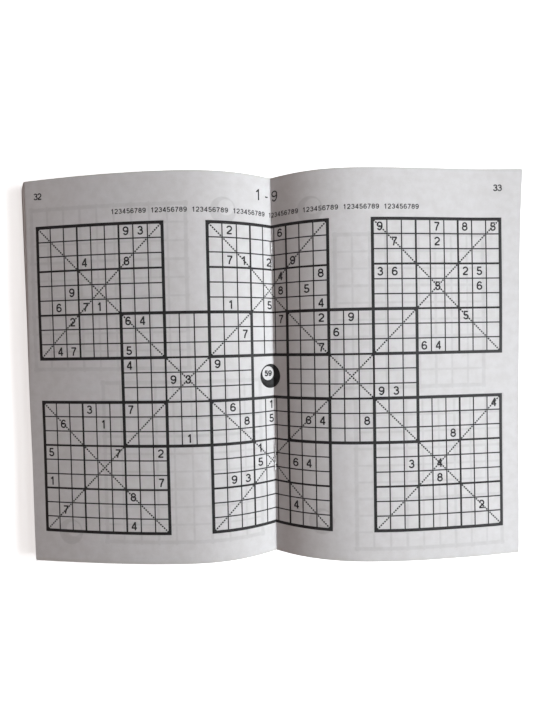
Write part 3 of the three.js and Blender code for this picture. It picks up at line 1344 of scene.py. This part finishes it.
@dataclass
class LeafStack:
    """The sixteen leaves on one side of the fold, top leaf first."""

    side: Side
    lie: Lie
    leaves: int = 16
    dip: float = 0.25 * MM  # depth of the top leaf's crease; those below are blunter
    fine: tuple[int, int] = (72, 30)  # stretches across and along the two leaves that carry print
    coarse: tuple[int, int] = (40, 14)  # and the others
    seed: int = 7
    drift: float = 0.25  # how far the ripple moves on from leaf to leaf, in radians
    stray: float = 0.2  # how far it strays from that
    pages: dict[str, Sheet] = field(default_factory=dict)

    def node(self, depth: int) -> str:
        """Returns the CAD node of the leaf that lies under depth others."""
        first = 2 * self.leaves + self.side * (2 * depth + 1)
        return f"leaf_{first:02d}_{first + 1:02d}"

    def leaf_lie(self, depth: int) -> Lie:
        """Works out the lie of a leaf: the deeper it is, the closer to its plain arch.

        Args:
            depth: How many leaves lie on it.

        Returns:
            Its lie.
        """
        share = 1 - depth / self.leaves
        lie = self.lie
        return Lie(lie.edge * share, lie.twist * share, lie.roll * share, lie.ripple * share)

    def build(self, papers: list[Material]) -> list[Piece]:
        """Makes the leaves.

        Args:
            papers: Finishes for the top leaf, the next one and all others.

        Returns:
            The pieces.
        """
        draw = random.Random(self.seed + self.side)
        pieces = []
        for depth in range(self.leaves):
            node = self.node(depth)
            across, along = self.fine if depth < 2 else self.coarse
            phase = self.drift * depth + draw.uniform(-self.stray, self.stray)
            dip = self.dip * (1 - depth / self.leaves)
            sheet = leaf_sheet(node, self.side, across, along, self.leaf_lie(depth), phase, dip)
            self.pages[node] = sheet
            paper = papers[min(depth, len(papers) - 1)]
            piece = link(node.replace("leaf", "paper"), sheet.mesh(node), paper)
            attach(piece, node)
            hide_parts(node)
            pieces.append(piece)
        return pieces

    def lay(self, art: Artwork, depth: int, face: Face, name: str, ink: Material) -> None:
        """Prints one page on a leaf and lets the print ride on it.

        Args:
            art: The page, or a spread with it.
            depth: How many leaves lie on the leaf.
            face: Face of the leaf that the page is on.
            name: The print's name.
            ink: Its finish.
        """
        node = self.node(depth)
        hand = Side(self.side * face)
        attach(art.lay(self.pages[node], hand, face, name, ink), node)
        log.info("%s printed on %s", name, node)


@dataclass
class CoverSheet:
    """The folded cover: front half, spine and back half in one sheet."""

    front: str = "front_cover"
    back: str = "back_cover"
    spine: str = "cover_spine"
    across: int = 44  # stretches from the fold to the fore edge
    along: int = 16  # stretches from tail to head
    spine_steps: int = 8  # stretches across the spine
    bend: Pair = (-0.4 * MM, -2.7 * MM)  # where the front half starts and ends turning
    sheet: Sheet = field(init=False)

    def __post_init__(self) -> None:
        """Joins the two halves across the spine."""
        middle, thickness = middle_line(self.back)
        half = smoothed(middle, self.across)
        foot = half[0]
        across = np.linspace(-foot[0], foot[0], self.spine_steps + 1)[1:-1]
        spine = np.c_[across, np.full(len(across), foot[1])]
        line = np.vstack([half[::-1] * (-1.0, 1.0), spine, half])
        along = lengths(line)
        low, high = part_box(self.back)
        up = cut_places(low.y, high.y, self.along)
        self.sheet = Sheet(line, along - along[-1] / 2, up, thickness, np.zeros((len(line), len(up))))

    @property
    def size(self) -> Pair:
        """Fold to fore edge and half the height."""
        return float(self.sheet.reach.max()), float(self.sheet.up.max())

    def lay(self, art: Artwork, hand: Side, name: str, ink: Material) -> None:
        """Prints the outside of one half and lets the print ride on it.

        Args:
            art: The print.
            hand: Side of the fold on which the reader sees it.
            name: The print's name.
            ink: Its finish.
        """
        half = self.front if hand is Side.RIGHT else self.back
        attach(art.lay(self.sheet, hand, Face.UNDER, name, ink), half)
        log.info("%s printed on the cover", name)

    def build(self, stock: Material) -> Piece:
        """Makes the cover and puts it in place of the cover's three CAD parts.

        Args:
            stock: Its finish.

        Returns:
            The piece.
        """
        piece = link("cover_sheet", self.sheet.mesh("cover_sheet"), stock)
        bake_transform(piece)
        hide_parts(self.front, self.back, self.spine)
        return piece


@dataclass
class Staple:
    """One wire staple: crown under the spine, legs through the fold, ends clinched inside."""

    node: str
    sides: int = 14  # of the wire's section
    bend: float = 0.7 * MM  # how far from a corner its bend starts
    bend_steps: int = 6
    clinch: float = 6.6 * MM  # length of an end
    rise: float = 0.5 * MM  # how far the bends stand above the clinched tips
    sag: float = 0.1 * MM  # how far a clinched end curves down in its middle
    chisel: float = 0.6  # slant of the cut ends
    sharp: float = 40.0  # degrees between faces that show as an edge

    def path(self) -> tuple[np.ndarray, float]:
        """Works out the wire's middle line in the plane of the fold.

        Returns:
            Points (along the fold, height) and the wire's radius.
        """
        low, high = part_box(self.node)
        radius = (high.x - low.x) / 2
        left, right = low.y + radius, high.y - radius
        bottom, top = low.z + radius, high.z - radius
        shoulder = top + self.rise
        corners = np.array([(left, shoulder), (left, bottom), (right, bottom), (right, shoulder)])
        tips = np.array([(left + self.clinch, top), (right - self.clinch, top)])
        route = [tips[0], (tips[0] + corners[0]) / 2 - (0.0, self.sag)]
        stops = [tips[0], *corners, tips[1]]
        for before, corner, after in zip(stops, stops[1:], stops[2:]):
            into = (corner - before) / np.linalg.norm(corner - before)
            out = (after - corner) / np.linalg.norm(after - corner)
            for t in np.linspace(0.0, 1.0, self.bend_steps):
                start, end = corner - into * self.bend, corner + out * self.bend
                route.append((1 - t) ** 2 * start + 2 * t * (1 - t) * corner + t**2 * end)
        route += [(tips[1] + corners[3]) / 2 - (0.0, self.sag), tips[1]]
        return np.array(route), radius

    def build(self, metal: Material) -> Piece:
        """Sweeps the wire along its path.

        Args:
            metal: Its finish.

        Returns:
            The piece.
        """
        route, radius = self.path()
        run = np.gradient(route, lengths(route), axis=0)
        run /= np.linalg.norm(run, axis=1)[:, None]
        turns = 2 * math.pi * np.arange(self.sides) / self.sides
        points = []
        for k, (centre, way) in enumerate(zip(route, run)):
            slant = {0: -self.chisel, len(route) - 1: self.chisel}.get(k, 0.0)
            for turn in turns:
                rise = radius * math.sin(turn)
                spot = centre + rise * np.array([-way[1], way[0]]) + slant * rise * way
                points.append((radius * math.cos(turn), *spot))
        rings = np.arange(len(points)).reshape(len(route), self.sides)
        after = np.roll(rings, -1, axis=1)
        corners = [rings[:-1], after[:-1], after[1:], rings[1:]]
        faces = np.stack(corners, axis=-1).reshape(-1, 4).tolist()
        mesh = bpy.data.meshes.new(self.node)
        mesh.from_pydata(points, [], [*faces, rings[0][::-1].tolist(), rings[-1].tolist()])
        shaped = bmesh.new()
        shaped.from_mesh(mesh)
        bmesh.ops.recalc_face_normals(shaped, faces=shaped.faces)
        shaped.to_mesh(mesh)
        shaped.free()
        mesh.shade_smooth()
        mesh.set_sharp_from_angle(angle=math.radians(self.sharp))
        piece = link(self.node.replace("staple", "wire"), mesh, metal)
        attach(piece, "back_cover")
        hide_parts(self.node)
        return piece


@dataclass(frozen=True)
class Lamp:
    """A soft box, sized by its distance from what it lights."""

    name: str
    place: Triple
    power: float  # watts
    colour: Triple
    aim: Triple = (0.0, 0.0, 0.0)
    beam: float = 180.0  # degrees
    spread: Pair = (0.714, 0.214)  # level and upright size, per distance

    def hang(self) -> None:
        """Puts the lamp into the scene."""
        ray = Vector(self.aim) - Vector(self.place)
        data = bpy.data.lights.new(self.name, "AREA")
        data.shape = "RECTANGLE"
        data.size, data.size_y = (share * ray.length for share in self.spread)
        data.spread = math.radians(self.beam)
        data.energy, data.color = self.power, self.colour
        lamp = bpy.data.objects.new(self.name, data)
        lamp.location = self.place
        lamp.rotation_euler = ray.to_track_quat("-Z", "Y").to_euler()
        bpy.context.scene.collection.objects.link(lamp)


@dataclass
class Studio:
    """Pale floor, soft light from the right, and the camera over the spread."""

    eye: Triple = (-1.506 * MM, 14.75 * MM, 275.08 * MM)
    turn: Triple = (-0.03985, 0.00095, -0.01803)  # radians
    lens: float = 24.1  # millimetres, as the sensor
    sensor: float = 36.0
    near: float = 10 * MM  # where the camera starts to see
    floor: float = -0.1 * MM  # just under the cover
    floor_size: float = 6.0
    floor_glow: float = 0.65  # keeps the floor white where the key light fades
    floor_tones: tuple[Colour, Colour] = ((0.95, 0.95, 0.95, 1.0), (0.97, 0.97, 0.97, 1.0))
    surround: Colour = (0.139, 0.089, 0.072, 1.0)
    backdrop: Colour = (0.74, 0.74, 0.75, 1.0)
    lamps: tuple[Lamp, ...] = (
        Lamp("key", (0.663, 0.0, 0.447), 7.2, (0.92, 0.97, 1.0)),
        Lamp("high", (0.482, 0.102, 0.63), 0.13, (0.93, 0.975, 1.0), aim=(0.0, 0.05, 0.0), beam=30.0),
    )

    def camera(self) -> None:
        """Sets the camera at the photograph's place."""
        data = bpy.data.cameras.new("camera")
        data.lens, data.sensor_width, data.clip_start = self.lens, self.sensor, self.near
        eye = bpy.data.objects.new("camera", data)
        eye.location, eye.rotation_euler = self.eye, Euler(self.turn)
        bpy.context.scene.collection.objects.link(eye)
        bpy.context.scene.camera = eye

    def stage(self) -> None:
        """Lays the floor."""
        half = self.floor_size / 2
        mesh = bpy.data.meshes.new("floor")
        corners = [(-half, -half), (half, -half), (half, half), (-half, half)]
        mesh.from_pydata([(x, y, self.floor) for x, y in corners], [], [(0, 1, 2, 3)])
        material, board, shader = new_material("pale floor")
        haze = board.noise(board.add("ShaderNodeTexCoord").outputs["Object"], scale=3.0, detail=2.0)
        colour = board.mix(haze, *self.floor_tones)
        board.dress(shader, {"Base Color": colour, "Roughness": 0.9, "Specular IOR Level": 0.1})
        board.dress(shader, {"Emission Color": (1.0, 1.0, 1.0, 1.0), "Emission Strength": self.floor_glow})
        link("floor", mesh, material)

    def light(self) -> None:
        """Sets the soft light: the lamps, and an even surround behind a pale backdrop."""
        world = bpy.data.worlds.new("surround")
        world.use_nodes = True
        board = Board(world.node_tree)
        seen = board.add("ShaderNodeLightPath").outputs["Is Camera Ray"]
        colour = board.mix(seen, self.surround, self.backdrop)
        board.dress(world.node_tree.nodes["Background"], {"Color": colour})
        bpy.context.scene.world = world
        for lamp in self.lamps:
            lamp.hang()
        view = bpy.context.scene.view_settings
        view.view_transform, view.look = "Standard", "None"


def main() -> None:
    """Builds the booklet in order and reports each piece."""
    logging.basicConfig(level=logging.INFO, format="%(name)s: %(message)s")
    studio = Studio()
    studio.camera()
    studio.stage()
    studio.light()

    effects = Effects()
    cover = CoverSheet()
    black = Ink.BLACK.value.material("black ink", effects)
    steel = WireFinish().material("drawn steel")
    cover.build(CoverFinish().material("cover stock", effects, cover.size))
    log.info("cover_sheet stands for the cover's three parts")
    for node in ("head_staple", "tail_staple"):
        log.info("%s made", Staple(node).build(steel).name)

    stacks = {
        Side.LEFT: LeafStack(Side.LEFT, Lie(edge=-0.9 * MM, roll=0.6 * MM, ripple=0.25 * MM)),
        Side.RIGHT: LeafStack(Side.RIGHT, Lie(edge=2.0 * MM, twist=1.8 * MM, ripple=0.25 * MM)),
    }
    staggered, stepped = Layout.STAGGERED.value, Layout.STEPPED.value
    behind = {Side.LEFT: staggered, Side.RIGHT: stepped}
    paper = PaperFinish()
    for side, stack in stacks.items():
        reverse = Side(-side)
        shows = PaperPrint(behind[side], reverse, strength=0.1, badge=1.35, blur=0.6 * MM)
        upper = PaperPrint(staggered, side)
        under = PaperPrint(staggered, reverse)
        faces = {
            "top": {Face.UPPER: shows},
            "next": {Face.UPPER: shows, Face.UNDER: under},
            "inner": {Face.UPPER: upper, Face.UNDER: under},
        }
        papers = [
            paper.material(f"paper {side.name.lower()} {kind}", effects, cover.size, prints)
            for kind, prints in faces.items()
        ]
        for piece in stack.build(papers):
            log.info("%s made", piece.name)

    founts = Founts()
    spread = SpreadPrint().build(founts)
    stacks[Side.LEFT].lay(spread, 0, Face.UPPER, "print_32", black)
    stacks[Side.RIGHT].lay(spread, 0, Face.UPPER, "print_33", black)
    for side, depth, face, page in (
        (Side.LEFT, 0, Face.UNDER, PuzzlePage(31, staggered, 57)),
        (Side.LEFT, 1, Face.UPPER, PuzzlePage(30, staggered, 55)),
        (Side.RIGHT, 0, Face.UNDER, PuzzlePage(34, stepped, 60)),
        (Side.RIGHT, 1, Face.UPPER, PuzzlePage(35, stepped, 62)),
    ):
        stacks[side].lay(page.build(founts), depth, face, f"print_{page.number}", black)

    white = Ink.WHITE.value.material("white ink", effects)
    for hand, name in ((Side.RIGHT, "print_front"), (Side.LEFT, "print_back")):
        cover.lay(CoverPrint().build(hand, founts.plain), hand, name, white)


if __name__ == "__main__":
    main()
